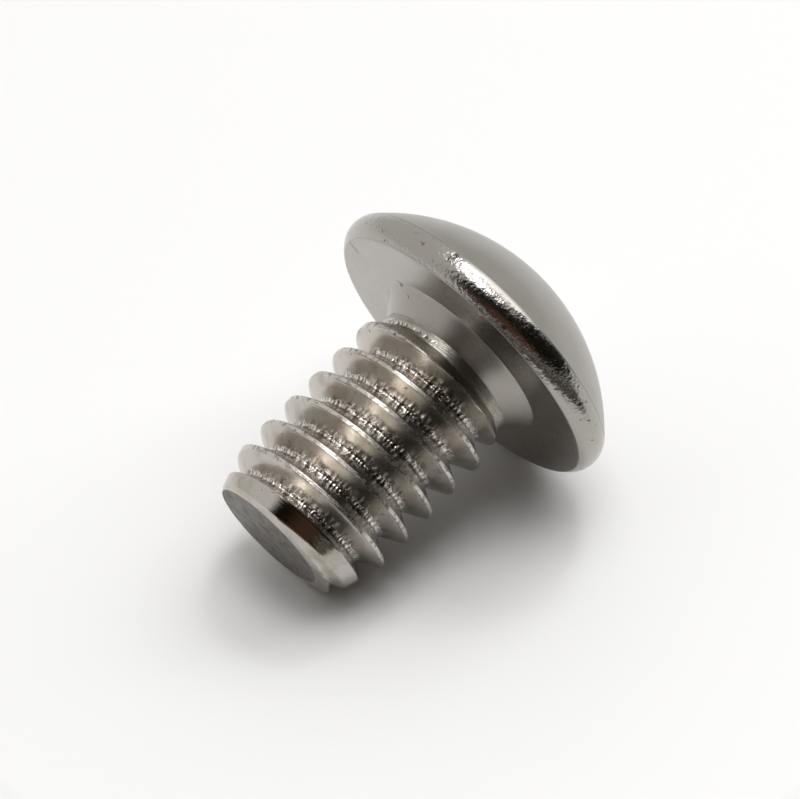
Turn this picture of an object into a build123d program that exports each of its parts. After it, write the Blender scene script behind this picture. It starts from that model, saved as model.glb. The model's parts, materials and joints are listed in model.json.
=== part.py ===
from build123d import *
import os
from math import asin, atan, atan2, cos, degrees, floor, hypot, radians, sin, sqrt, tan

# A small stainless thread-forming screw with a domed button head, one piece of cold-headed bar with
# a rolled thread. It is modelled upright, its axis on Z and the flat end of its point at z = 0, and
# then laid on its side as it comes to rest: on the rim of its head and the first crest of its thread.

# Thread: right-hand, 60 degree form with flats at its crest and root
major_d = 4.166
pitch = 25.4 / 32
length = 6.14           # from the end of the point to the bearing face
crest_flat = pitch / 8
root_flat = pitch / 8
thread_angle = 60

# Point: a flat end and a short bevel, from which the crest grows to its full height
tip_d = 0.72 * major_d
bevel_d = tip_d + 0.48
bevel_h = 0.10
crest_full_at = 1.10

# Neck: the blank as it was before rolling, which a cone carries into the head
neck_d = major_d - 0.64 * pitch
neck_h = 0.28
shoulder_h = 0.28       # over which the last crest falls to the neck
collar_h = 0.50
collar_angle = 42       # of the cone's side from the axis
runout_at = 1.14        # below the bearing face, the groove starts to climb out of the metal
runout_turn = 0.75      # part of a turn that this takes
runout_rise = 0.38 * pitch

# Head: flat bearing face, a low bulged band and a dome with a flat crown
head_d = 7.82
bearing_d = head_d - 0.45
rim_d = head_d - 0.14
band_h = 0.69
edge_h = 0.07
dome_rise = 1.81        # to where the dome would close if it had no crown

# Hexagon socket
socket_af = 2.38
socket_depth = 1.32
drill_angle = 118
mouth_d = socket_af / cos(radians(30)) + 0.15
mouth_h = 0.90          # depth at which the cone of the mouth would close
crown_d = mouth_d + 0.10

# How it lies: the side that is up, as an angle about its axis from where the groove leaves the metal
turn_about_axis = 151.1

major_r = major_d / 2
bearing_z = length
shoulder_z = length - collar_h - neck_h - shoulder_h
runout_z = length - runout_at
dome_r = (dome_rise**2 + (rim_d / 2) ** 2) / (2 * dome_rise)
dome_centre = length + band_h + dome_rise - dome_r
top = dome_centre + sqrt(dome_r**2 - (crown_d / 2) ** 2)

with BuildPart() as upright:
    # The headed blank with the thread's crests standing: half its section, turned about the axis
    with BuildSketch(Plane.YZ):
        with BuildLine():
            shank = Polyline(
                (0, top),
                (0, 0),
                (tip_d / 2, 0),
                (bevel_d / 2, bevel_h),
                (major_r, crest_full_at),
                (major_r, shoulder_z),
                (neck_d / 2, shoulder_z + shoulder_h),
                (neck_d / 2, bearing_z - collar_h),
                (neck_d / 2 + collar_h * tan(radians(collar_angle)), bearing_z),
                (bearing_d / 2 - edge_h, bearing_z),
                (bearing_d / 2, bearing_z + edge_h),
            )
            band = ThreePointArc(
                shank @ 1,
                (head_d / 2, bearing_z + 0.55 * band_h),
                (rim_d / 2, bearing_z + band_h),
            )
            half_way = (rim_d + crown_d) / 4
            dome = ThreePointArc(
                band @ 1,
                (half_way, dome_centre + sqrt(dome_r**2 - half_way**2)),
                (crown_d / 2, top),
            )
            Line(dome @ 1, shank @ 0)
        make_face()
    revolve(axis=Axis.Z)

    # The hexagon socket, its floor as the drill leaves it and its mouth eased by a cone
    with BuildSketch(Plane.XY.offset(top)):
        RegularPolygon(socket_af / 2, 6, major_radius=False)
    extrude(amount=-socket_depth, mode=Mode.SUBTRACT)
    with BuildSketch(Plane.XZ):
        with BuildLine():
            floor_z = top - socket_depth
            drill_h = socket_af / 2 / tan(radians(drill_angle / 2))
            Polyline((0, floor_z), (socket_af / 2, floor_z), (0, floor_z - drill_h), close=True)
        make_face()
        with BuildLine():
            Polyline((0, top), (mouth_d / 2, top), (0, top - mouth_h), close=True)
        make_face()
    revolve(axis=Axis.Z, mode=Mode.SUBTRACT)

    # The thread: one groove, swept turn by turn from beyond the point to the neck, and on along a
    # widening helix on which it climbs out of the metal
    slope = tan(radians(thread_angle / 2))
    mouth_half = (pitch - crest_flat) / 2
    root_half = root_flat / 2
    depth = (mouth_half - root_half) / slope
    over = 0.05 * pitch  # the groove is cut from a little outside the crests
    turns = floor(runout_z / pitch) + 2
    climb = degrees(atan(runout_rise / (runout_turn * pitch)))
    stretches = [(runout_z - (turns - n) * pitch, pitch, 0) for n in range(turns)]
    stretches.append((runout_z, runout_turn * pitch, climb))
    for start, height, angle in stretches:
        with BuildLine():
            Helix(pitch / cos(radians(angle)), height, major_r, (0, 0, start), cone_angle=angle)
        with BuildSketch(Plane((major_r, 0, start), x_dir=(1, 0, 0), z_dir=(0, -1, 0))):
            with BuildLine():
                Polyline(
                    (-depth, root_half),
                    (-depth, -root_half),
                    (over, -mouth_half - over * slope),
                    (over, mouth_half + over * slope),
                    close=True,
                )
            make_face()
        sweep(is_frenet=True, mode=Mode.SUBTRACT)

# Laid on its side: the bulge of the band and the lowest crest next to the point touch the floor
crest_below = (runout_z - pitch / 2 + (180 - turn_about_axis) / 360 * pitch) % pitch
if crest_below < bevel_h + crest_flat:
    crest_below += pitch
grown = min(1, (crest_below - bevel_h) / (crest_full_at - bevel_h))
crest_r = (bevel_d + grown * (major_d - bevel_d)) / 2
bulge_r, bulge_z = band.arc_center.X - crest_r, band.arc_center.Y - crest_below
tilt = atan2(bulge_r, bulge_z) + asin(band.radius / hypot(bulge_r, bulge_z))
along = Vector(cos(tilt), 0, sin(tilt))
upward = Vector(-sin(tilt), 0, cos(tilt))
groove_side = upward.rotate(Axis((0, 0, 0), along), turn_about_axis)
with BuildPart(Plane((0, 0, 0), x_dir=groove_side, z_dir=along)) as lying:
    add(upright.part)

# The floor is z = 0, and the origin is under the middle of the screw
box = lying.part.bounding_box()
with BuildPart(Plane((-box.center().X, -box.center().Y, -box.min.Z))) as screw:
    add(lying.part)
screw.part.label = "screw"

os.makedirs("parts", exist_ok=True)
export_step(screw.part, "parts/screw.step")
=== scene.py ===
import bpy
import json
from math import acos, atan2, cos, pi, radians, sin, sqrt, tan
from mathutils import Matrix, Vector


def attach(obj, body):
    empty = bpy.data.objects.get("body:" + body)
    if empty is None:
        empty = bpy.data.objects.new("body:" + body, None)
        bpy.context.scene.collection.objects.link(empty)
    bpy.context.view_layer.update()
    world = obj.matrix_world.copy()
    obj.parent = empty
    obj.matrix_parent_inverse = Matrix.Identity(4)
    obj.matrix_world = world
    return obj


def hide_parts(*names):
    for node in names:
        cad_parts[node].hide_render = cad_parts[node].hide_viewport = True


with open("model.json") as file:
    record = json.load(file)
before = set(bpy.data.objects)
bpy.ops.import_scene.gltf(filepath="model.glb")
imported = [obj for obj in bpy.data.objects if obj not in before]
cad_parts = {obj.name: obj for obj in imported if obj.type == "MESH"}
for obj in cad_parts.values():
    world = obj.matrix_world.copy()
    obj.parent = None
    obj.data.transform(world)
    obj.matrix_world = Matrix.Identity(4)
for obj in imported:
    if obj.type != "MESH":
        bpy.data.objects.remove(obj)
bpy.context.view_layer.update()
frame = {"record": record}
mm = 0.001


# The headed blank
# The screw starts as a length of stainless bar, and a header's blows form its collar, rim, dome and
# socket. From the neck to the middle of the socket it is drawn as half a section, on x and z.

major_r = 4.166 / 2 * mm
pitch = 25.4 / 32 * mm
length = 6.14 * mm
neck_r = major_r - 0.32 * pitch
collar_h = 0.50 * mm
collar_r = neck_r + collar_h * tan(radians(42))
head_r = 7.82 / 2 * mm
bearing_r = head_r - 0.225 * mm
rim_r = head_r - 0.07 * mm
band_h = 0.69 * mm
dome_rise = 1.81 * mm
socket_r = 2.38 / 2 * mm
socket_depth = 1.32 * mm
mouth_r = socket_r / cos(radians(30)) + 0.075 * mm
mouth_h = 0.90 * mm
crown_r = mouth_r + 0.05 * mm


def arc(first, middle, last, steps):
    """Points on the arc through three points, without the first."""
    (ax, az), (bx, bz), (cx, cz) = first, middle, last
    d = 2 * (ax * (bz - cz) + bx * (cz - az) + cx * (az - bz))
    a2, b2, c2 = ax * ax + az * az, bx * bx + bz * bz, cx * cx + cz * cz
    ox = (a2 * (bz - cz) + b2 * (cz - az) + c2 * (az - bz)) / d
    oz = (a2 * (cx - bx) + b2 * (ax - cx) + c2 * (bx - ax)) / d
    start = atan2(az - oz, ax - ox)
    turn = (atan2(cz - oz, cx - ox) - start + pi) % (2 * pi) - pi
    r = sqrt((ax - ox) ** 2 + (az - oz) ** 2)
    angles = [start + turn * n / steps for n in range(1, steps + 1)]
    return [(ox + r * cos(a), oz + r * sin(a)) for a in angles]


def straight(first, last, steps):
    """Points along a straight, without the first."""
    share = [n / steps for n in range(1, steps + 1)]
    return [(first[0] + (last[0] - first[0]) * s, first[1] + (last[1] - first[1]) * s) for s in share]


def eased(corner, before, after, r, steps=4):
    """Points of a small round of radius r in place of a corner."""
    c, p, q = Vector(corner), Vector(before), Vector(after)
    u, v = (p - c).normalized(), (q - c).normalized()
    half = acos(u.dot(v)) / 2
    start, end = c + u * (r / tan(half)), c + v * (r / tan(half))
    bisector = (u + v).normalized()
    middle = c + bisector * (r / sin(half) - r)
    return [tuple(start)] + arc(start, middle, end, steps)


dome_r = (dome_rise**2 + rim_r**2) / (2 * dome_rise)
dome_centre = length + band_h + dome_rise - dome_r
top = dome_centre + sqrt(dome_r**2 - crown_r**2)
half_way = (rim_r + crown_r) / 2
neck_end = (neck_r, length - collar_h)
collar_end = (collar_r, length)
under_rim = (bearing_r, length)
band_mid = (head_r, length + 0.55 * band_h)
rim = (rim_r, length + band_h)
dome_mid = (half_way, dome_centre + sqrt(dome_r**2 - half_way**2))
crown = (crown_r, top)
mouth = (mouth_r, top)
socket_floor = top - socket_depth
drill_point = (0.0, socket_floor - socket_r / tan(radians(59)))

THREAD, POINT, UNDER, BAND, DOME, SOCKET = range(6)
section, surfaces, hexagon = [neck_end], [], [0.0]


def go_on(points, surface, six_sided=0.0):
    """Lengthens the section by points on one of the screw's surfaces."""
    section.extend(points)
    surfaces.extend([surface] * len(points))
    hexagon.extend([six_sided] * len(points))


go_on(straight(neck_end, collar_end, 6)[:-1], UNDER)
go_on(eased(collar_end, neck_end, under_rim, 0.03 * mm), UNDER)
go_on(straight(section[-1], under_rim, 8)[:-1], UNDER)
go_on(eased(under_rim, collar_end, band_mid, 0.05 * mm), UNDER)
go_on(arc(section[-1], band_mid, rim, 14)[:-1], BAND)
go_on(eased(rim, section[-1], dome_mid, 0.02 * mm), DOME)
go_on(arc(section[-1], dome_mid, crown, 24)[:-1], DOME)
go_on(eased(crown, section[-1], mouth, 0.03 * mm), DOME)
go_on([mouth], DOME)
go_on([(socket_r, top)], SOCKET, 1.0)
go_on(straight(section[-1], (socket_r, socket_floor), 6), SOCKET, 1.0)
go_on([(socket_r - 0.04 * mm, socket_floor)], SOCKET)
go_on(straight(section[-1], drill_point, 6), SOCKET)

outline = bpy.data.meshes.new("half_section")
outline.from_pydata(
    [(r, 0, z) for r, z in section], [(n, n + 1) for n in range(len(section) - 1)], []
)
outline.attributes.new("surface", "INT", "EDGE").data.foreach_set("value", surfaces)
outline.attributes.new("hexagon", "FLOAT", "POINT").data.foreach_set("value", hexagon)
screw = bpy.data.objects.new("rolled_screw", outline)
bpy.context.scene.collection.objects.link(screw)


# Its surfaces
# One steel, and each tool that shaped it left its own finish.


MATH = "ShaderNodeMath"


def add(tree, kind, inputs=None, **settings):
    """Adds a node with its settings, and sets or links its inputs."""
    node = tree.nodes.new(kind)
    for name, value in settings.items():
        setattr(node, name, value)
    for key, value in (inputs or {}).items():
        if isinstance(value, bpy.types.Node):
            value = next(socket for socket in value.outputs if socket.enabled)
        if isinstance(value, bpy.types.NodeSocket):
            tree.links.new(value, node.inputs[key])
        else:
            node.inputs[key].default_value = value
    return node


def linear(hex_colour):
    """A linear colour from an sRGB hex value."""
    parts = [int(hex_colour[n : n + 2], 16) / 255 for n in (1, 3, 5)]
    return [c / 12.92 if c <= 0.04045 else ((c + 0.055) / 1.055) ** 2.4 for c in parts] + [1.0]


def stainless(name, colour, roughness):
    """A bare stainless surface, with the screw's upright coordinates to draw on."""
    material = bpy.data.materials.new(name)
    material.use_nodes = True
    tree = material.node_tree
    shader = tree.nodes["Principled BSDF"]
    shader.inputs["Metallic"].default_value = 1.0
    shader.inputs["Base Color"].default_value = linear(colour)
    shader.inputs["Roughness"].default_value = roughness
    upright = add(tree, "ShaderNodeAttribute", attribute_name="upright").outputs["Vector"]
    return material, tree, shader, upright


# Rolled thread: the flanks are burnished by the dies to a soft mirror, the grooves are combed by the
# flowing metal into ridges that glint, and the crests, where two folds meet, are one bright ragged
# line. Part of this light is painted: the ridge tops carry a painted highlight colour, the ridge
# hollows a painted shade colour, and the crests a lighter painted highlight colour along them. The
# ridges and the streaks are drawn coarser than they are, so that they show
ridge_gap = 0.085 * mm
ridge_reach = 0.17 * mm
combed_r = 1.9 * mm
thread, tree, shader, upright = stainless("rolled_stainless_thread", "#A39F99", 0.24)
form = add(tree, "ShaderNodeAttribute", attribute_name="form").outputs["Fac"]
tipward = add(tree, "ShaderNodeAttribute", attribute_name="tipward").outputs["Fac"]
cut = add(tree, "ShaderNodeAttribute", attribute_name="cut").outputs["Fac"]
crest = add(tree, MATH, {0: 1.0, 1: cut}, operation="SUBTRACT")
ragged = add(
    tree, "ShaderNodeTexNoise", {"Vector": upright, "Scale": 1 / (0.16 * mm), "Detail": 3.0}
)
ragged = add(tree, MATH, {0: ragged, 1: 0.9, 2: tipward}, operation="MULTIPLY_ADD")
combed = add(
    tree,
    "ShaderNodeMapRange",
    {"Value": ragged, "From Min": 1.08, "From Max": 0.85},
    interpolation_type="SMOOTHSTEP",
)
below_crest = add(tree, MATH, {0: ragged, 1: tipward}, operation="SUBTRACT")
below_crest = add(tree, MATH, {0: below_crest, 1: 0.35, 2: form}, operation="MULTIPLY_ADD")
below_crest = add(
    tree,
    "ShaderNodeMapRange",
    {"Value": below_crest, "From Min": 0.50, "From Max": 0.44},
    interpolation_type="SMOOTHSTEP",
)
combed = add(tree, MATH, {0: combed, 1: below_crest}, operation="MULTIPLY")
combed = add(tree, MATH, {0: combed, 1: cut}, operation="MULTIPLY")
off_point = add(tree, "ShaderNodeSeparateXYZ", {0: upright}).outputs["Z"]
off_point = add(
    tree,
    "ShaderNodeMapRange",
    {"Value": off_point, "From Min": 0.35 * mm, "From Max": 0.65 * mm},
    interpolation_type="SMOOTHSTEP",
)
combed = add(tree, MATH, {0: combed, 1: off_point}, operation="MULTIPLY")
sideways = add(tree, "ShaderNodeVectorMath", {0: upright, 1: (1, 1, 0)}, operation="MULTIPLY")
outward = add(tree, "ShaderNodeVectorMath", {0: sideways}, operation="NORMALIZE")
ridge_at = add(
    tree, "ShaderNodeVectorMath", {0: outward, "Scale": combed_r / ridge_gap}, operation="SCALE"
)
ridge_along = add(
    tree, "ShaderNodeVectorMath", {0: upright, 1: (0, 0, 1 / ridge_reach)}, operation="MULTIPLY"
)
ridge_at = add(tree, "ShaderNodeVectorMath", {0: ridge_at, 1: ridge_along}, operation="ADD")
ridges = add(tree, "ShaderNodeTexNoise", {"Vector": ridge_at, "Scale": 1.0, "Detail": 1.0})
# Painted shade: the hollows between the combed ridges are given a dark colour
ridge_painted_shade = add(
    tree,
    "ShaderNodeMapRange",
    {"Value": ridges, "From Min": 0.47, "From Max": 0.36},
    interpolation_type="SMOOTHSTEP",
)
ridge_painted_shade = add(tree, MATH, {0: ridge_painted_shade, 1: combed}, operation="MULTIPLY")
# Painted highlight: the tops of the combed ridges are given a near-white colour, as painted glints
ridge_painted_glint = add(
    tree,
    "ShaderNodeMapRange",
    {"Value": ridges, "From Min": 0.52, "From Max": 0.62},
    interpolation_type="SMOOTHSTEP",
)
ridge_painted_glint = add(tree, MATH, {0: ridge_painted_glint, 1: combed}, operation="MULTIPLY")
ridges = add(tree, MATH, {0: ridges, 1: combed}, operation="MULTIPLY")
around_fold = add(tree, MATH, {0: form, 1: pi}, operation="MULTIPLY")
fold_cos = add(tree, MATH, {0: around_fold}, operation="COSINE")
upright_mm = add(tree, "ShaderNodeVectorMath", {0: upright, "Scale": 1 / mm}, operation="SCALE")
place = add(tree, "ShaderNodeSeparateXYZ", {0: upright_mm.outputs["Vector"]})
streak_x = add(tree, MATH, {0: fold_cos, 1: 6.0}, operation="MULTIPLY")
streak_y = add(tree, MATH, {0: tipward, 1: 6.0}, operation="MULTIPLY")
streak_z = add(tree, MATH, {0: place.outputs["X"], 1: place.outputs["Z"]}, operation="ADD")
streak_w = add(tree, MATH, {0: place.outputs["Y"], 1: 1.1}, operation="MULTIPLY")
streak_at = add(tree, "ShaderNodeCombineXYZ", {"X": streak_x, "Y": streak_y, "Z": streak_z})
streaks = add(
    tree,
    "ShaderNodeTexNoise",
    {"Vector": streak_at, "W": streak_w, "Scale": 1.0, "Detail": 3.0, "Roughness": 0.6},
    noise_dimensions="4D",
)
off_axis = add(tree, "ShaderNodeVectorMath", {0: sideways}, operation="LENGTH").outputs["Value"]
full = add(
    tree,
    "ShaderNodeMapRange",
    {"Value": off_axis, "From Min": major_r - 0.06 * mm, "From Max": major_r - 0.02 * mm},
)
streak_share = add(tree, "ShaderNodeMapRange", {"Value": crest, "To Min": 0.06, "To Max": 1.0})
streaked = add(tree, MATH, {0: streaks, 1: streak_share}, operation="MULTIPLY")
first_crests = add(
    tree, "ShaderNodeMapRange", {"Value": place.outputs["Z"], "From Min": 1.6, "From Max": 1.0}
)
partial = add(tree, MATH, {0: 1.0, 1: full}, operation="SUBTRACT")
partial = add(tree, MATH, {0: partial, 1: first_crests}, operation="MULTIPLY")
on_full = add(tree, "ShaderNodeMapRange", {"Value": partial, "To Min": 1.0, "To Max": 0.3})
streaked = add(tree, MATH, {0: streaked, 1: on_full}, operation="MULTIPLY")
grain = add(
    tree, "ShaderNodeTexNoise", {"Vector": upright, "Scale": 1 / (0.045 * mm), "Detail": 2.0}
)
height = add(tree, MATH, {0: ridges, 1: 42.0}, operation="MULTIPLY")
height = add(tree, MATH, {0: streaked, 1: 14.0, 2: height}, operation="MULTIPLY_ADD")
lap = add(
    tree,
    "ShaderNodeMapRange",
    {"Value": form, "From Min": 0.955, "From Max": 1.0, "To Max": -2.5},
    interpolation_type="SMOOTHSTEP",
)
lap = add(tree, MATH, {0: lap, 1: crest}, operation="MULTIPLY")
lap = add(tree, MATH, {0: lap, 1: full}, operation="MULTIPLY")
height = add(tree, MATH, {0: height, 1: lap}, operation="ADD")
height = add(tree, MATH, {0: grain, 1: 0.35, 2: height}, operation="MULTIPLY_ADD")
bump = add(tree, "ShaderNodeBump", {"Height": height, "Distance": 0.001 * mm})
tree.links.new(bump.outputs["Normal"], shader.inputs["Normal"])
patches = add(
    tree, "ShaderNodeTexNoise", {"Vector": upright, "Scale": 1 / (0.5 * mm), "Detail": 3.0}
)
stain = add(
    tree,
    "ShaderNodeMapRange",
    {"Value": patches, "From Min": 0.42, "From Max": 0.68},
    interpolation_type="SMOOTHSTEP",
)
colour = add(
    tree,
    "ShaderNodeMix",
    {"Factor": stain, "A": linear("#BDB8B1"), "B": linear("#ACA49A")},
    data_type="RGBA",
)
colour = add(
    tree,
    "ShaderNodeMix",
    {"Factor": ridge_painted_shade, "A": colour.outputs["Result"], "B": linear("#6E675F")},
    data_type="RGBA",
)
colour = add(
    tree,
    "ShaderNodeMix",
    {"Factor": ridge_painted_glint, "A": colour.outputs["Result"], "B": linear("#EEEAE4")},
    data_type="RGBA",
)
# Painted highlight: the crests are given a lighter colour along them, for their bright line
crest_painted_highlight = add(tree, MATH, {0: crest, 1: full}, operation="MULTIPLY")
crest_painted_highlight = add(tree, MATH, {0: crest_painted_highlight, 1: 0.45}, operation="MULTIPLY")
colour = add(
    tree,
    "ShaderNodeMix",
    {"Factor": crest_painted_highlight, "A": colour.outputs["Result"], "B": linear("#DEDAD4")},
    data_type="RGBA",
)
specks = add(
    tree, "ShaderNodeTexNoise", {"Vector": upright, "Scale": 1 / (0.13 * mm), "Detail": 2.0}
)
speck = add(
    tree,
    "ShaderNodeMapRange",
    {"Value": specks, "From Min": 0.69, "From Max": 0.73},
    interpolation_type="SMOOTHSTEP",
)
colour = add(
    tree,
    "ShaderNodeMix",
    {"Factor": speck, "A": colour.outputs["Result"], "B": linear("#5A534C")},
    data_type="RGBA",
)
breaks = add(
    tree,
    "ShaderNodeTexNoise",
    {"Vector": upright, "Scale": 1 / (0.13 * mm), "Detail": 3.0, "Roughness": 0.6},
)
breaks = add(
    tree,
    "ShaderNodeMapRange",
    {"Value": breaks, "From Min": 0.50, "From Max": 0.60},
    interpolation_type="SMOOTHSTEP",
)
breaks = add(tree, MATH, {0: breaks, 1: crest}, operation="MULTIPLY")
breaks = add(tree, MATH, {0: breaks, 1: full}, operation="MULTIPLY")
broken = add(tree, MATH, {0: breaks, 1: 0.6}, operation="MULTIPLY")
colour = add(
    tree,
    "ShaderNodeMix",
    {"Factor": broken, "A": colour.outputs["Result"], "B": linear("#6A645C")},
    data_type="RGBA",
)
tree.links.new(colour.outputs["Result"], shader.inputs["Base Color"])
gloss = add(tree, "ShaderNodeMapRange", {"Value": grain, "To Min": 0.21, "To Max": 0.27})
gloss = add(tree, MATH, {0: crest, 1: -0.01, 2: gloss}, operation="MULTIPLY_ADD")
gloss = add(tree, MATH, {0: combed, 1: -0.02, 2: gloss}, operation="MULTIPLY_ADD")
gloss = add(tree, MATH, {0: breaks, 1: 0.20, 2: gloss}, operation="MULTIPLY_ADD")
on_cone = add(tree, MATH, {0: crest, 1: partial}, operation="MULTIPLY")
gloss = add(tree, MATH, {0: on_cone, 1: -0.15, 2: gloss}, operation="MULTIPLY_ADD")
tree.links.new(gloss.outputs[0], shader.inputs["Roughness"])

# Sheared point: the flat end the blank was cut to, torn dull by the shear, with dark matt scale left
# in its hollows. The tears are 14 to the millimetre one way, 38 the other
point, tree, shader, upright = stainless("sheared_stainless_point", "#9A9690", 0.42)
tear_at = add(
    tree, "ShaderNodeVectorMath", {0: upright, 1: (14 / mm, 38 / mm, 14 / mm)}, operation="MULTIPLY"
)
tear = add(tree, "ShaderNodeTexNoise", {"Vector": tear_at, "Scale": 1.0, "Detail": 4.0})
hollow = add(
    tree,
    "ShaderNodeTexNoise",
    {"Vector": upright, "Scale": 1 / (0.35 * mm), "Detail": 4.0, "Roughness": 0.65},
)
height = add(tree, MATH, {0: tear, 1: 2.2}, operation="MULTIPLY")
height = add(tree, MATH, {0: hollow, 1: 16.0, 2: height}, operation="MULTIPLY_ADD")
bump = add(tree, "ShaderNodeBump", {"Height": height, "Distance": 0.001 * mm})
tree.links.new(bump.outputs["Normal"], shader.inputs["Normal"])
scale = add(
    tree,
    "ShaderNodeMapRange",
    {"Value": hollow, "From Min": 0.56, "From Max": 0.30, "To Min": 0.28, "To Max": 0.62},
    interpolation_type="SMOOTHSTEP",
)
bare = add(tree, MATH, {0: 1.0, 1: scale}, operation="SUBTRACT")
tree.links.new(bare.outputs[0], shader.inputs["Metallic"])
shader.inputs["Specular IOR Level"].default_value = 0.1
# Painted shade: the bare steel of the end is coloured darker than the rest of the screw's steel, for
# the shaded floor that it mirrors; the scale keeps its own dark colour
colour = add(
    tree,
    "ShaderNodeMix",
    {"Factor": scale, "A": linear("#85817B"), "B": linear("#35312D")},
    data_type="RGBA",
)
tree.links.new(colour.outputs["Result"], shader.inputs["Base Color"])
gloss = add(tree, "ShaderNodeMapRange", {"Value": tear, "To Min": 0.24, "To Max": 0.38})
gloss = add(tree, MATH, {0: scale, 1: 0.4, 2: gloss}, operation="MULTIPLY_ADD")
tree.links.new(gloss.outputs[0], shader.inputs["Roughness"])

# Headed bearing face: pressed flat and smooth by the header, with a soft bloom and hair scratches


def knocks(tree, upright, marks):
    """How deep each place lies in the nicks and scratches, given as ends and width in mm."""
    wobble = add(
        tree, "ShaderNodeTexNoise", {"Vector": upright, "Scale": 1 / (0.03 * mm)}
    ).outputs["Color"]
    wobble = add(tree, "ShaderNodeVectorMath", {0: wobble, "Scale": 0.03}, operation="SCALE")
    place = add(tree, "ShaderNodeVectorMath", {0: upright, "Scale": 1 / mm}, operation="SCALE")
    place = add(tree, "ShaderNodeVectorMath", {0: place, 1: wobble}, operation="ADD")
    deepest = None
    for first, last, width in marks:
        along = Vector(last) - Vector(first)
        reach = add(tree, "ShaderNodeVectorMath", {0: place, 1: first}, operation="SUBTRACT")
        share = add(
            tree,
            "ShaderNodeVectorMath",
            {0: reach, 1: along / along.length_squared},
            operation="DOT_PRODUCT",
        )
        share = add(tree, "ShaderNodeClamp", {"Value": share.outputs["Value"]})
        nearest = add(
            tree, "ShaderNodeVectorMath", {0: tuple(along), "Scale": share}, operation="SCALE"
        )
        miss = add(tree, "ShaderNodeVectorMath", {0: reach, 1: nearest}, operation="DISTANCE")
        deep = add(
            tree,
            "ShaderNodeMapRange",
            {"Value": miss.outputs["Value"], "From Min": width, "From Max": width * 0.3},
            interpolation_type="SMOOTHSTEP",
        )
        deepest = add(tree, MATH, {0: deepest or 0.0, 1: deep}, operation="MAXIMUM")
    return deepest


# Nicks and scratches on the head: both ends and the width, in the screw's upright millimetres
head_marks = (
    ((-3.70, -0.46, 6.22), (-3.74, -0.40, 6.14), 0.035),
    ((-3.34, 1.52, 6.14), (-3.02, 1.48, 6.14), 0.05),
    ((-3.02, 1.48, 6.14), (-2.10, 1.19, 6.14), 0.016),
    ((-2.32, 0.36, 6.14), (-2.22, 0.22, 6.14), 0.045),
    ((-2.24, 0.34, 6.14), (-2.26, 0.22, 6.14), 0.03),
    ((-2.12, -0.10, 6.00), (-2.08, -0.15, 5.97), 0.025),
    ((1.46, -3.62, 6.50), (1.50, -3.60, 6.54), 0.03),
    ((2.13, -3.25, 6.43), (2.16, -3.22, 6.50), 0.025),
    ((-0.80, -3.61, 6.17), (-0.76, -3.63, 6.22), 0.03),
)
under, tree, shader, upright = stainless("headed_stainless_bearing", "#A5A19B", 0.26)
bloom = add(
    tree,
    "ShaderNodeTexNoise",
    {"Vector": upright, "Scale": 1 / (0.6 * mm), "Detail": 4.0, "Roughness": 0.6},
)
grain = add(
    tree, "ShaderNodeTexNoise", {"Vector": upright, "Scale": 1 / (0.05 * mm), "Detail": 2.0}
)
height = add(tree, MATH, {0: bloom, 1: 1.8}, operation="MULTIPLY")
height = add(tree, MATH, {0: grain, 1: 0.12, 2: height}, operation="MULTIPLY_ADD")
knocked = knocks(tree, upright, head_marks)
height = add(tree, MATH, {0: knocked, 1: -9.0, 2: height}, operation="MULTIPLY_ADD")
bump = add(tree, "ShaderNodeBump", {"Height": height, "Distance": 0.001 * mm})
tree.links.new(bump.outputs["Normal"], shader.inputs["Normal"])
colour = add(
    tree,
    "ShaderNodeMix",
    {"Factor": bloom, "A": linear("#ABA7A1"), "B": linear("#9B9690")},
    data_type="RGBA",
)
knocked = add(tree, MATH, {0: knocked, 1: 0.75}, operation="MULTIPLY")
colour = add(
    tree,
    "ShaderNodeMix",
    {"Factor": knocked, "A": colour.outputs["Result"], "B": linear("#4B453F")},
    data_type="RGBA",
)
tree.links.new(colour.outputs["Result"], shader.inputs["Base Color"])
gloss = add(tree, "ShaderNodeMapRange", {"Value": grain, "To Min": 0.26, "To Max": 0.30})
tree.links.new(gloss.outputs["Result"], shader.inputs["Roughness"])

# Peened rim: the bright band round the head is dimpled and pricked all over by knocks in the
# tumbling barrel, so the dark and the light that it mirrors meet in a grain
rim_band, tree, shader, upright = stainless("peened_stainless_rim", "#A9A59F", 0.13)
dimples = add(
    tree,
    "ShaderNodeTexNoise",
    {"Vector": upright, "Scale": 1 / (0.30 * mm), "Detail": 3.0, "Roughness": 0.6},
)
specks = add(
    tree, "ShaderNodeTexNoise", {"Vector": upright, "Scale": 1 / (0.08 * mm), "Detail": 2.0}
)
height = add(tree, MATH, {0: dimples, 1: 12.0}, operation="MULTIPLY")
height = add(tree, MATH, {0: specks, 1: 12.0, 2: height}, operation="MULTIPLY_ADD")
knocked = knocks(tree, upright, head_marks)
height = add(tree, MATH, {0: knocked, 1: -12.0, 2: height}, operation="MULTIPLY_ADD")
bump = add(tree, "ShaderNodeBump", {"Height": height, "Distance": 0.001 * mm})
tree.links.new(bump.outputs["Normal"], shader.inputs["Normal"])
# Painted shade: the dimples' hollows are coloured darker; the knocks are darkened with them as marks
dimple_painted_shade_and_knocks = add(
    tree,
    "ShaderNodeMapRange",
    {"Value": dimples, "From Min": 0.36, "From Max": 0.28},
    interpolation_type="SMOOTHSTEP",
)
dimple_painted_shade_and_knocks = add(tree, MATH, {0: dimple_painted_shade_and_knocks, 1: knocked}, operation="MAXIMUM")
colour = add(
    tree,
    "ShaderNodeMix",
    {"Factor": dimple_painted_shade_and_knocks, "A": linear("#A9A59F"), "B": linear("#665F57")},
    data_type="RGBA",
)
tree.links.new(colour.outputs["Result"], shader.inputs["Base Color"])
gloss = add(tree, "ShaderNodeMapRange", {"Value": specks, "To Min": 0.12, "To Max": 0.24})
tree.links.new(gloss.outputs["Result"], shader.inputs["Roughness"])

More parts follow.
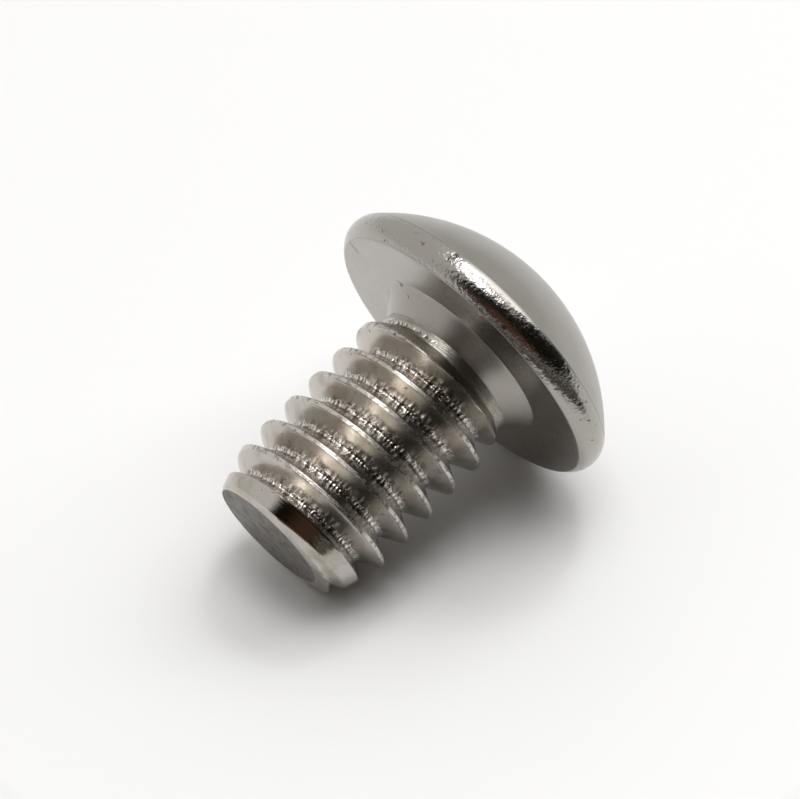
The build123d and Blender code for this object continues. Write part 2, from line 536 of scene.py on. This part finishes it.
# Satin dome: the punch's polished face, blurred to a soft satin by the tumbling
dome_face, tree, shader, upright = stainless("satin_stainless_dome", "#A7A39D", 0.30)
cloud = add(
    tree,
    "ShaderNodeTexNoise",
    {"Vector": upright, "Scale": 1 / (0.9 * mm), "Detail": 4.0, "Roughness": 0.55},
)
satin = add(
    tree, "ShaderNodeTexNoise", {"Vector": upright, "Scale": 1 / (0.05 * mm), "Detail": 2.0}
)
height = add(tree, MATH, {0: cloud, 1: 7.0}, operation="MULTIPLY")
height = add(tree, MATH, {0: satin, 1: 0.6, 2: height}, operation="MULTIPLY_ADD")
bump = add(tree, "ShaderNodeBump", {"Height": height, "Distance": 0.001 * mm})
tree.links.new(bump.outputs["Normal"], shader.inputs["Normal"])
colour = add(
    tree,
    "ShaderNodeMix",
    {"Factor": cloud, "A": linear("#A09D97"), "B": linear("#8F8B85")},
    data_type="RGBA",
)
tree.links.new(colour.outputs["Result"], shader.inputs["Base Color"])
gloss = add(tree, "ShaderNodeMapRange", {"Value": satin, "To Min": 0.24, "To Max": 0.36})
tree.links.new(gloss.outputs["Result"], shader.inputs["Roughness"])

# Broached socket: a hexagon pressed down into the head, its walls drawn with fine upright lines, 25
# to the millimetre
socket, tree, shader, upright = stainless("broached_stainless_socket", "#9C9892", 0.32)
draw_at = add(
    tree, "ShaderNodeVectorMath", {0: upright, 1: (25 / mm, 25 / mm, 1.2 / mm)}, operation="MULTIPLY"
)
drawn = add(tree, "ShaderNodeTexNoise", {"Vector": draw_at, "Scale": 1.0, "Detail": 3.0})
bump = add(tree, "ShaderNodeBump", {"Height": drawn, "Distance": 0.005 * mm})
tree.links.new(bump.outputs["Normal"], shader.inputs["Normal"])
colour = add(
    tree,
    "ShaderNodeMix",
    {"Factor": drawn, "A": linear("#A39F99"), "B": linear("#8A857E")},
    data_type="RGBA",
)
tree.links.new(colour.outputs["Result"], shader.inputs["Base Color"])
gloss = add(tree, "ShaderNodeMapRange", {"Value": drawn, "To Min": 0.22, "To Max": 0.42})
tree.links.new(gloss.outputs["Result"], shader.inputs["Roughness"])

finishes = [thread, point, under, rim_band, dome_face, socket]


# The rolled thread
# Flat dies roll the shank, and its metal flows up into a right-hand 60 degree thread. A flat sheet,
# one pitch wide, is wound round the axis turn after turn: the middle of its width is the groove.

steps_around = 216
steps_across = 36
turns_before, turns_after = 8, 2

tree = bpy.data.node_groups.new("rolled_screw", "GeometryNodeTree")
tree.interface.new_socket("Geometry", in_out="OUTPUT", socket_type="NodeSocketGeometry")
tree.interface.new_socket("Geometry", in_out="INPUT", socket_type="NodeSocketGeometry")
sizes = {
    "Steps Around": steps_around,
    "Steps Across": steps_across,
    "Turns": turns_before + turns_after,
    "Turns After": turns_after,
    "Pitch": pitch,
    "Crest Radius": major_r,
    "Root Radius": major_r - 0.65 * pitch,
    "Root Flat": pitch / 16,
    "Flank Slope": tan(radians(60)),
    "Crest Round": 0.030 * mm,
    "Root Round": 0.10 * mm,
    "Point Radius": 0.36 * 2 * major_r - 0.05 * mm,
    "Point Offset": 0.21 * mm,
    "Offset Way": radians(151),
    "Bevel Radius": 0.36 * 2 * major_r + 0.24 * mm,
    "Bevel Height": 0.10 * mm,
    "End Spacing": 2.4,
    "Growth Slope": 0.343,
    "Shoulder Start": length - 1.06 * mm,
    "Shoulder Slope": -0.907,
    "Neck Radius": neck_r,
    "Neck End": length - collar_h,
    "Run-out Start": length - 1.14 * mm,
    "Run-out Rise": 0.402 * mm,
    "Section Rows": len(section),
    "Crown Height": top,
    "Mouth Radius": mouth_r,
    "Mouth Height": mouth_h,
    "Merge Distance": 0.0002 * mm,
}
given = {}
for name, value in sizes.items():
    kind = "NodeSocketInt" if isinstance(value, int) else "NodeSocketFloat"
    given[name] = tree.interface.new_socket(name, in_out="INPUT", socket_type=kind).identifier
start = tree.nodes.new("NodeGroupInput")
size = {name: start.outputs[name] for name in sizes}

# The sheet: x counts turns from the run-out's start, y goes from groove middle to crest middle
around_all = add(
    tree, MATH, {0: size["Steps Around"], 1: size["Turns"], 2: 1.0}, operation="MULTIPLY_ADD"
)
across_all = add(tree, MATH, {0: size["Steps Across"], 1: 1.0}, operation="ADD")
sheet = add(
    tree,
    "GeometryNodeMeshGrid",
    {"Size X": size["Turns"], "Size Y": 1.0, "Vertices X": around_all, "Vertices Y": across_all},
)
flat = add(tree, "ShaderNodeSeparateXYZ", {0: add(tree, "GeometryNodeInputPosition")})
half_turns = add(
    tree, MATH, {0: size["Turns"], 1: -0.5, 2: size["Turns After"]}, operation="MULTIPLY_ADD"
)
turn = add(tree, MATH, {0: flat.outputs["X"], 1: half_turns}, operation="ADD")
groove_z = add(
    tree, MATH, {0: turn, 1: size["Pitch"], 2: size["Run-out Start"]}, operation="MULTIPLY_ADD"
)
raw_z = add(
    tree, MATH, {0: flat.outputs["Y"], 1: size["Pitch"], 2: groove_z}, operation="MULTIPLY_ADD"
)

# The row nearest the flat end is brought onto it, so that its edge is one clean circle
row_h = add(tree, MATH, {0: size["Pitch"], 1: size["Steps Across"]}, operation="DIVIDE")
half_row = add(tree, MATH, {0: row_h, 1: 0.5}, operation="MULTIPLY")
off_end = add(tree, MATH, {0: raw_z}, operation="ABSOLUTE")
off_end = add(tree, MATH, {0: off_end, 1: half_row}, operation="GREATER_THAN")
raw_z = add(tree, MATH, {0: raw_z, 1: off_end}, operation="MULTIPLY")
z = add(tree, "ShaderNodeClamp", {"Value": raw_z, "Min": 0.0, "Max": size["Neck End"]})

# The groove: a small flat, then a flank at the thread's slope, lifted where the thread runs out
off_middle = add(tree, MATH, {0: z, 1: groove_z}, operation="SUBTRACT")
off_middle = add(tree, MATH, {0: off_middle}, operation="ABSOLUTE")
off_flat = add(tree, MATH, {0: off_middle, 1: size["Root Flat"]}, operation="SUBTRACT")
flank = add(
    tree, MATH, {0: off_flat, 1: size["Flank Slope"], 2: size["Root Radius"]}, operation="MULTIPLY_ADD"
)
groove = add(
    tree, MATH, {0: flank, 1: size["Root Radius"], 2: size["Root Round"]}, operation="SMOOTH_MAX"
)
run_out = add(tree, MATH, {0: turn, 1: 0.0}, operation="MAXIMUM")
groove = add(
    tree, MATH, {0: run_out, 1: size["Run-out Rise"], 2: groove}, operation="MULTIPLY_ADD"
)

# The blank under it: flat end and bevel, the cone of the first crests, the crests and the neck
angle = add(tree, MATH, {0: turn, 1: 2 * pi}, operation="MULTIPLY")
off_centre = add(tree, MATH, {0: angle, 1: size["Offset Way"]}, operation="SUBTRACT")
off_centre = add(tree, MATH, {0: off_centre}, operation="COSINE")
point_r = add(
    tree,
    MATH,
    {0: off_centre, 1: size["Point Offset"], 2: size["Point Radius"]},
    operation="MULTIPLY_ADD",
)
above_end = add(tree, MATH, {0: raw_z, 1: 0.0}, operation="MAXIMUM")
below_end = add(tree, MATH, {0: raw_z, 1: 0.0}, operation="MINIMUM")
bevel = add(
    tree,
    "ShaderNodeMapRange",
    {
        "Value": above_end,
        "From Max": size["Bevel Height"],
        "To Min": point_r,
        "To Max": size["Bevel Radius"],
    },
    clamp=False,
)
bevel = add(
    tree, MATH, {0: below_end, 1: size["End Spacing"], 2: bevel}, operation="MULTIPLY_ADD"
)
past_bevel = add(tree, MATH, {0: raw_z, 1: size["Bevel Height"]}, operation="SUBTRACT")
growth = add(
    tree,
    MATH,
    {0: past_bevel, 1: size["Growth Slope"], 2: size["Bevel Radius"]},
    operation="MULTIPLY_ADD",
)
past_crests = add(tree, MATH, {0: raw_z, 1: size["Shoulder Start"]}, operation="SUBTRACT")
shoulder = add(
    tree,
    MATH,
    {0: past_crests, 1: size["Shoulder Slope"], 2: size["Crest Radius"]},
    operation="MULTIPLY_ADD",
)
shoulder = add(
    tree,
    MATH,
    {0: shoulder, 1: size["Neck Radius"], 2: size["Crest Round"]},
    operation="SMOOTH_MAX",
)
blank = size["Crest Radius"]
for face in (shoulder, growth, bevel):
    blank = add(tree, MATH, {0: blank, 1: face, 2: size["Crest Round"]}, operation="SMOOTH_MIN")
radius = add(tree, MATH, {0: blank, 1: groove, 2: size["Crest Round"]}, operation="SMOOTH_MIN")
cut_depth = add(tree, MATH, {0: blank, 1: groove}, operation="SUBTRACT")
cut = add(tree, "ShaderNodeMapRange", {"Value": cut_depth, "From Max": size["Crest Round"]})
radius = add(tree, MATH, {0: radius, 1: 0.0}, operation="MAXIMUM")
east = add(tree, MATH, {0: angle}, operation="COSINE")
east = add(tree, MATH, {0: radius, 1: east}, operation="MULTIPLY")
north = add(tree, MATH, {0: angle}, operation="SINE")
north = add(tree, MATH, {0: radius, 1: north}, operation="MULTIPLY")
wound = add(tree, "ShaderNodeCombineXYZ", {"X": east, "Y": north, "Z": z})

# For the finish: how far up the thread's form a place is, and whether it faces the tip or the head
form = add(tree, MATH, {0: flat.outputs["Y"]}, operation="ABSOLUTE")
form = add(tree, MATH, {0: form, 1: 2.0}, operation="MULTIPLY")
tipward = add(tree, MATH, {0: flat.outputs["Y"], 1: 2 * pi}, operation="MULTIPLY")
tipward = add(tree, MATH, {0: tipward}, operation="SINE")
shank = add(
    tree,
    "GeometryNodeStoreNamedAttribute",
    {"Geometry": sheet.outputs["Mesh"], "Name": "form", "Value": form},
    data_type="FLOAT",
)
shank = add(
    tree,
    "GeometryNodeStoreNamedAttribute",
    {"Geometry": shank, "Name": "tipward", "Value": tipward},
    data_type="FLOAT",
)
shank = add(
    tree,
    "GeometryNodeStoreNamedAttribute",
    {"Geometry": shank, "Name": "cut", "Value": cut},
    data_type="FLOAT",
)
shank = add(tree, "GeometryNodeSetPosition", {"Geometry": shank, "Position": wound})
shank = add(tree, "GeometryNodeTriangulate", {"Mesh": shank}, quad_method="SHORTEST_DIAGONAL")
height = add(tree, "ShaderNodeSeparateXYZ", {0: add(tree, "GeometryNodeInputPosition")})
on_end = add(tree, MATH, {0: height.outputs["Z"], 1: size["Merge Distance"]}, operation="LESS_THAN")
shank = add(
    tree,
    "GeometryNodeStoreNamedAttribute",
    {"Geometry": shank, "Name": "surface", "Value": on_end},
    data_type="INT",
    domain="FACE",
)

# The head: the half section turned about the axis, its socket's rows drawn out to a hexagon
one_turn = add(tree, MATH, {0: size["Steps Around"], 1: 1.0}, operation="ADD")
rows = add(tree, MATH, {0: size["Section Rows"], 1: 1.0}, operation="SUBTRACT")
ring = add(
    tree,
    "GeometryNodeMeshGrid",
    {"Size X": 1.0, "Size Y": rows, "Vertices X": one_turn, "Vertices Y": size["Section Rows"]},
)
row = add(tree, MATH, {0: rows, 1: 0.5, 2: flat.outputs["Y"]}, operation="MULTIPLY_ADD")
edge_row = add(tree, MATH, {0: row}, operation="FLOOR")
point_row = add(tree, MATH, {0: row}, operation="ROUND")
half = start.outputs["Geometry"]
drawn = add(
    tree,
    "GeometryNodeSampleIndex",
    {"Geometry": half, "Value": add(tree, "GeometryNodeInputPosition"), "Index": point_row},
    data_type="FLOAT_VECTOR",
)
drawn = add(tree, "ShaderNodeSeparateXYZ", {0: drawn})
six = add(
    tree,
    "GeometryNodeSampleIndex",
    {
        "Geometry": half,
        "Value": add(tree, "GeometryNodeInputNamedAttribute", {"Name": "hexagon"}, data_type="FLOAT"),
        "Index": point_row,
    },
    data_type="FLOAT",
)
ring_angle = add(tree, MATH, {0: flat.outputs["X"], 1: 2 * pi, 2: pi}, operation="MULTIPLY_ADD")
in_side = add(tree, MATH, {0: ring_angle, 1: pi / 3}, operation="FLOORED_MODULO")
from_flat = add(tree, MATH, {0: in_side, 1: pi / 6}, operation="SUBTRACT")
reach = add(tree, MATH, {0: from_flat}, operation="COSINE")
reach = add(tree, MATH, {0: 1.0, 1: reach}, operation="DIVIDE")
drawn_out = add(tree, MATH, {0: drawn.outputs["X"], 1: reach}, operation="MULTIPLY")
ring_r = add(
    tree,
    "ShaderNodeMix",
    {"Factor": six, "A": drawn.outputs["X"], "B": drawn_out},
    data_type="FLOAT",
)
ease = add(tree, MATH, {0: ring_r, 1: size["Mouth Radius"]}, operation="DIVIDE")
ease = add(tree, MATH, {0: 1.0, 1: ease}, operation="SUBTRACT")
ease = add(tree, MATH, {0: ease, 1: size["Mouth Height"]}, operation="MULTIPLY")
ease = add(tree, MATH, {0: ease, 1: six}, operation="MULTIPLY")
ease = add(tree, MATH, {0: size["Crown Height"], 1: ease}, operation="SUBTRACT")
ring_z = add(tree, MATH, {0: drawn.outputs["Z"], 1: ease}, operation="MINIMUM")
ring_e = add(tree, MATH, {0: ring_angle}, operation="COSINE")
ring_e = add(tree, MATH, {0: ring_r, 1: ring_e}, operation="MULTIPLY")
ring_n = add(tree, MATH, {0: ring_angle}, operation="SINE")
ring_n = add(tree, MATH, {0: ring_r, 1: ring_n}, operation="MULTIPLY")
turned = add(tree, "ShaderNodeCombineXYZ", {"X": ring_e, "Y": ring_n, "Z": ring_z})
surface = add(
    tree,
    "GeometryNodeSampleIndex",
    {
        "Geometry": half,
        "Value": add(tree, "GeometryNodeInputNamedAttribute", {"Name": "surface"}, data_type="INT"),
        "Index": edge_row,
    },
    data_type="INT",
    domain="EDGE",
)
head = add(
    tree,
    "GeometryNodeStoreNamedAttribute",
    {"Geometry": ring.outputs["Mesh"], "Name": "surface", "Value": surface},
    data_type="INT",
    domain="FACE",
)
head = add(tree, "GeometryNodeSetPosition", {"Geometry": head, "Position": turned})

# Both made one closed skin, with what the finishes read
whole = add(tree, "GeometryNodeJoinGeometry", {0: shank})
tree.links.new(head.outputs[0], whole.inputs[0])
whole = add(
    tree,
    "GeometryNodeMergeByDistance",
    {"Geometry": whole, "Distance": size["Merge Distance"]},
)
whole = add(
    tree,
    "GeometryNodeStoreNamedAttribute",
    {"Geometry": whole, "Name": "upright", "Value": add(tree, "GeometryNodeInputPosition")},
    data_type="FLOAT_VECTOR",
)
whole = add(
    tree,
    "GeometryNodeSetShadeSmooth",
    {"Geometry": whole, "Shade Smooth": True},
    domain="FACE",
)
crease = add(tree, "GeometryNodeInputMeshEdgeAngle").outputs["Unsigned Angle"]
crease = add(tree, MATH, {0: crease, 1: radians(35)}, operation="GREATER_THAN")
whole = add(
    tree,
    "GeometryNodeSetShadeSmooth",
    {"Geometry": whole, "Selection": crease, "Shade Smooth": False},
    domain="EDGE",
)
whole = add(tree, "GeometryNodeRealizeInstances", {"Geometry": whole})
on_surface = add(tree, "GeometryNodeInputNamedAttribute", {"Name": "surface"}, data_type="INT")
for number, finish in enumerate(finishes):
    this_one = add(
        tree, "FunctionNodeCompare", {2: on_surface, 3: number}, data_type="INT", operation="EQUAL"
    )
    whole = add(
        tree,
        "GeometryNodeSetMaterial",
        {"Geometry": whole, "Selection": this_one, "Material": finish},
    )
end = tree.nodes.new("NodeGroupOutput")
tree.links.new(whole.outputs[0], end.inputs[0])

rolling = screw.modifiers.new("rolling", "NODES")
rolling.node_group = tree
for name, value in sizes.items():
    rolling[given[name]] = value
made = bpy.data.meshes.new_from_object(screw.evaluated_get(bpy.context.evaluated_depsgraph_get()))
screw.modifiers.remove(rolling)
screw.data = made
made.name = "rolled_screw"

# It lies on its side: the point and the way the axis runs come from the frame, and the groove's
# start is turned round the axis to where it stops rolling
point_mount = next(m for m in frame["record"]["mounts"] if m["name"] == "thread")
axis = -Vector(point_mount["axis"]).normalized()
level = Vector((0, 1, 0))
upward = axis.cross(level)
groove_side = Matrix.Rotation(radians(151.1), 3, axis) @ upward
lying = Matrix((groove_side, axis.cross(groove_side), axis)).transposed().to_4x4()
lying.translation = Vector(point_mount["pos_m"])
made.transform(lying)
made.update()
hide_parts("screw")
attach(screw, "root")


# Floor and light
# White paper under the screw, a soft lamp overhead, a small desk lamp and a window, in a pale room
# with one dark side. Bare metal shows little but what stands round it.

floor_mesh = bpy.data.meshes.new("floor")
reach_out = 0.4
floor_mesh.from_pydata(
    [(x * reach_out, y * reach_out, 0) for x, y in ((-1, -1), (1, -1), (1, 1), (-1, 1))],
    [],
    [(0, 1, 2, 3)],
)
floor = bpy.data.objects.new("floor", floor_mesh)
bpy.context.scene.collection.objects.link(floor)
paper = bpy.data.materials.new("white_paper")
paper.use_nodes = True
tree = paper.node_tree
shader = tree.nodes["Principled BSDF"]
shader.inputs["Base Color"].default_value = linear("#F6F6F6")
shader.inputs["Roughness"].default_value = 0.5
floor_mesh.materials.append(paper)

# A dark card lies in front, out of sight: the bright metal is turned towards it. It is a painted
# reflection of shade: only the metal's reflections see it, and it casts no shadow and lights nothing
shade_reflection_card_mesh = bpy.data.meshes.new("painted_reflection_card")
shade_reflection_card_turns = [radians(-185 + 120 * n / 12) for n in range(13)]
shade_reflection_card_mesh.from_pydata(
    [(r * cos(a), r * sin(a), 0.02 * mm) for r in (12 * mm, 80 * mm) for a in shade_reflection_card_turns],
    [],
    [(n, n + 13, n + 14, n + 1) for n in range(12)],
)
shade_reflection_card = bpy.data.objects.new("painted_reflection_card", shade_reflection_card_mesh)
bpy.context.scene.collection.objects.link(shade_reflection_card)
shade_reflection_card.visible_camera = False
shade_reflection_card.visible_diffuse = False
shade_reflection_card.visible_shadow = False
painted_shade_reflection = bpy.data.materials.new("painted_shade_reflection")
painted_shade_reflection.use_nodes = True
painted_shade_reflection.node_tree.nodes["Principled BSDF"].inputs["Base Color"].default_value = linear("#4A453F")
painted_shade_reflection.node_tree.nodes["Principled BSDF"].inputs["Roughness"].default_value = 0.8
shade_reflection_card_mesh.materials.append(painted_shade_reflection)

world = bpy.data.worlds.new("room")
bpy.context.scene.world = world
world.use_nodes = True
tree = world.node_tree
way = add(tree, "ShaderNodeTexCoord").outputs["Generated"]
dark = None
for azimuth, elevation, inner, outer in ((-81, -5, 56, 67), (-135, 14, 50, 62)):
    a, e = radians(azimuth), radians(elevation)
    middle_way = Vector((cos(a) * cos(e), sin(a) * cos(e), sin(e)))
    towards = add(tree, "ShaderNodeVectorMath", {0: way, 1: middle_way}, operation="DOT_PRODUCT")
    patch = add(
        tree,
        "ShaderNodeMapRange",
        {
            "Value": towards.outputs["Value"],
            "From Min": cos(radians(outer)),
            "From Max": cos(radians(inner)),
        },
        interpolation_type="SMOOTHSTEP",
    )
    dark = add(tree, MATH, {0: dark or 0.0, 1: patch}, operation="MAXIMUM")
brown_way = Vector((cos(radians(-152)), sin(radians(-152)), 0))
brown = add(tree, "ShaderNodeVectorMath", {0: way, 1: brown_way}, operation="DOT_PRODUCT")
brown = add(
    tree,
    "ShaderNodeMapRange",
    {"Value": brown.outputs["Value"], "From Min": 0.72, "From Max": 0.95},
    interpolation_type="SMOOTHSTEP",
)
dark_colour = add(
    tree,
    "ShaderNodeMix",
    {"Factor": brown, "A": linear("#16170F"), "B": linear("#5A4438")},
    data_type="RGBA",
)
room_colour = add(
    tree,
    "ShaderNodeMix",
    {"Factor": dark, "A": linear("#E1E0DE"), "B": dark_colour.outputs["Result"]},
    data_type="RGBA",
)
background = tree.nodes["Background"]
tree.links.new(room_colour.outputs["Result"], background.inputs["Color"])
background.inputs["Strength"].default_value = 1.0


def lamp(name, azimuth, elevation, distance, size, radiance):
    """A soft square lamp that faces the screw."""
    a, e = radians(azimuth), radians(elevation)
    away = Vector((cos(a) * cos(e), sin(a) * cos(e), sin(e)))
    light = bpy.data.lights.new(name, "AREA")
    light.size = size
    light.energy = radiance * pi * size * size
    held = bpy.data.objects.new(name, light)
    held.location = away * distance
    held.rotation_euler = away.to_track_quat("Z", "Y").to_euler()
    bpy.context.scene.collection.objects.link(held)


lamp("overhead", -120, 87, 0.3, 0.14, 4.6)
lamp("desk", 19, 66, 0.3, 0.06, 9.0)
lamp("window", -9, 46, 0.3, 0.21, 1.64)


# Camera
# A long lens, from the point's side and above.

camera = bpy.data.cameras.new("camera")
camera.lens = 135.3
camera.sensor_width = 36
camera.clip_start = 0.001
seen_from = bpy.data.objects.new("camera", camera)
aim = Vector((-0.06, 0.02, 3.47)) * mm
azimuth, elevation, distance = radians(-133.76), radians(44.05), 68.47 * mm
back = Vector((cos(azimuth) * cos(elevation), sin(azimuth) * cos(elevation), sin(elevation)))
seen_from.location = aim + back * distance
seen_from.rotation_euler = back.to_track_quat("Z", "Y").to_euler()
bpy.context.scene.collection.objects.link(seen_from)
bpy.context.scene.camera = seen_from
bpy.context.scene.view_settings.view_transform = "Standard"
